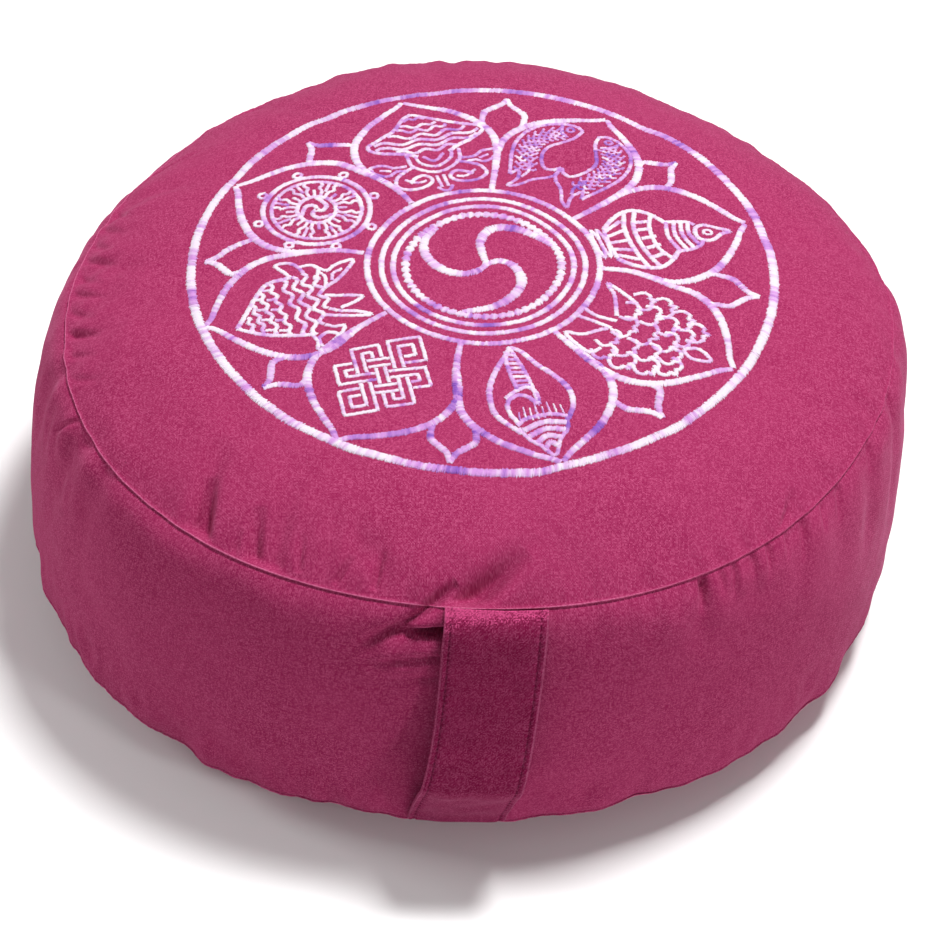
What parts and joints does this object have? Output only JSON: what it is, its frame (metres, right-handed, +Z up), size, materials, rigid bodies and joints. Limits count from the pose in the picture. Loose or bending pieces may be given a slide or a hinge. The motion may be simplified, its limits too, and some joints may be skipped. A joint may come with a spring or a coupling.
{
  "type": "zafu meditation cushion",
  "caption": "Round filled meditation cushion with a crowned top panel, bulging side band, flat underside and a flat carry handle sewn between the seams.",
  "frame": {"origin": "centre of the flat resting patch, under the middle of the top panel", "axes": "+Z up through the crown; the carry handle is at the front, on -Y; +X is to the right seen from the front"},
  "size_m": [0.362, 0.3734, 0.1462],
  "materials": {
    "panel_cloth": "matt woven cotton",
    "strap_twill": "cotton twill with a low sheen",
    "embroidery_thread": "glossy machine embroidery thread"
  },
  "bodies": {
    "root": {"filled_cushion": "panel_cloth", "carry_handle": "strap_twill"}
  },
  "joints": []
}
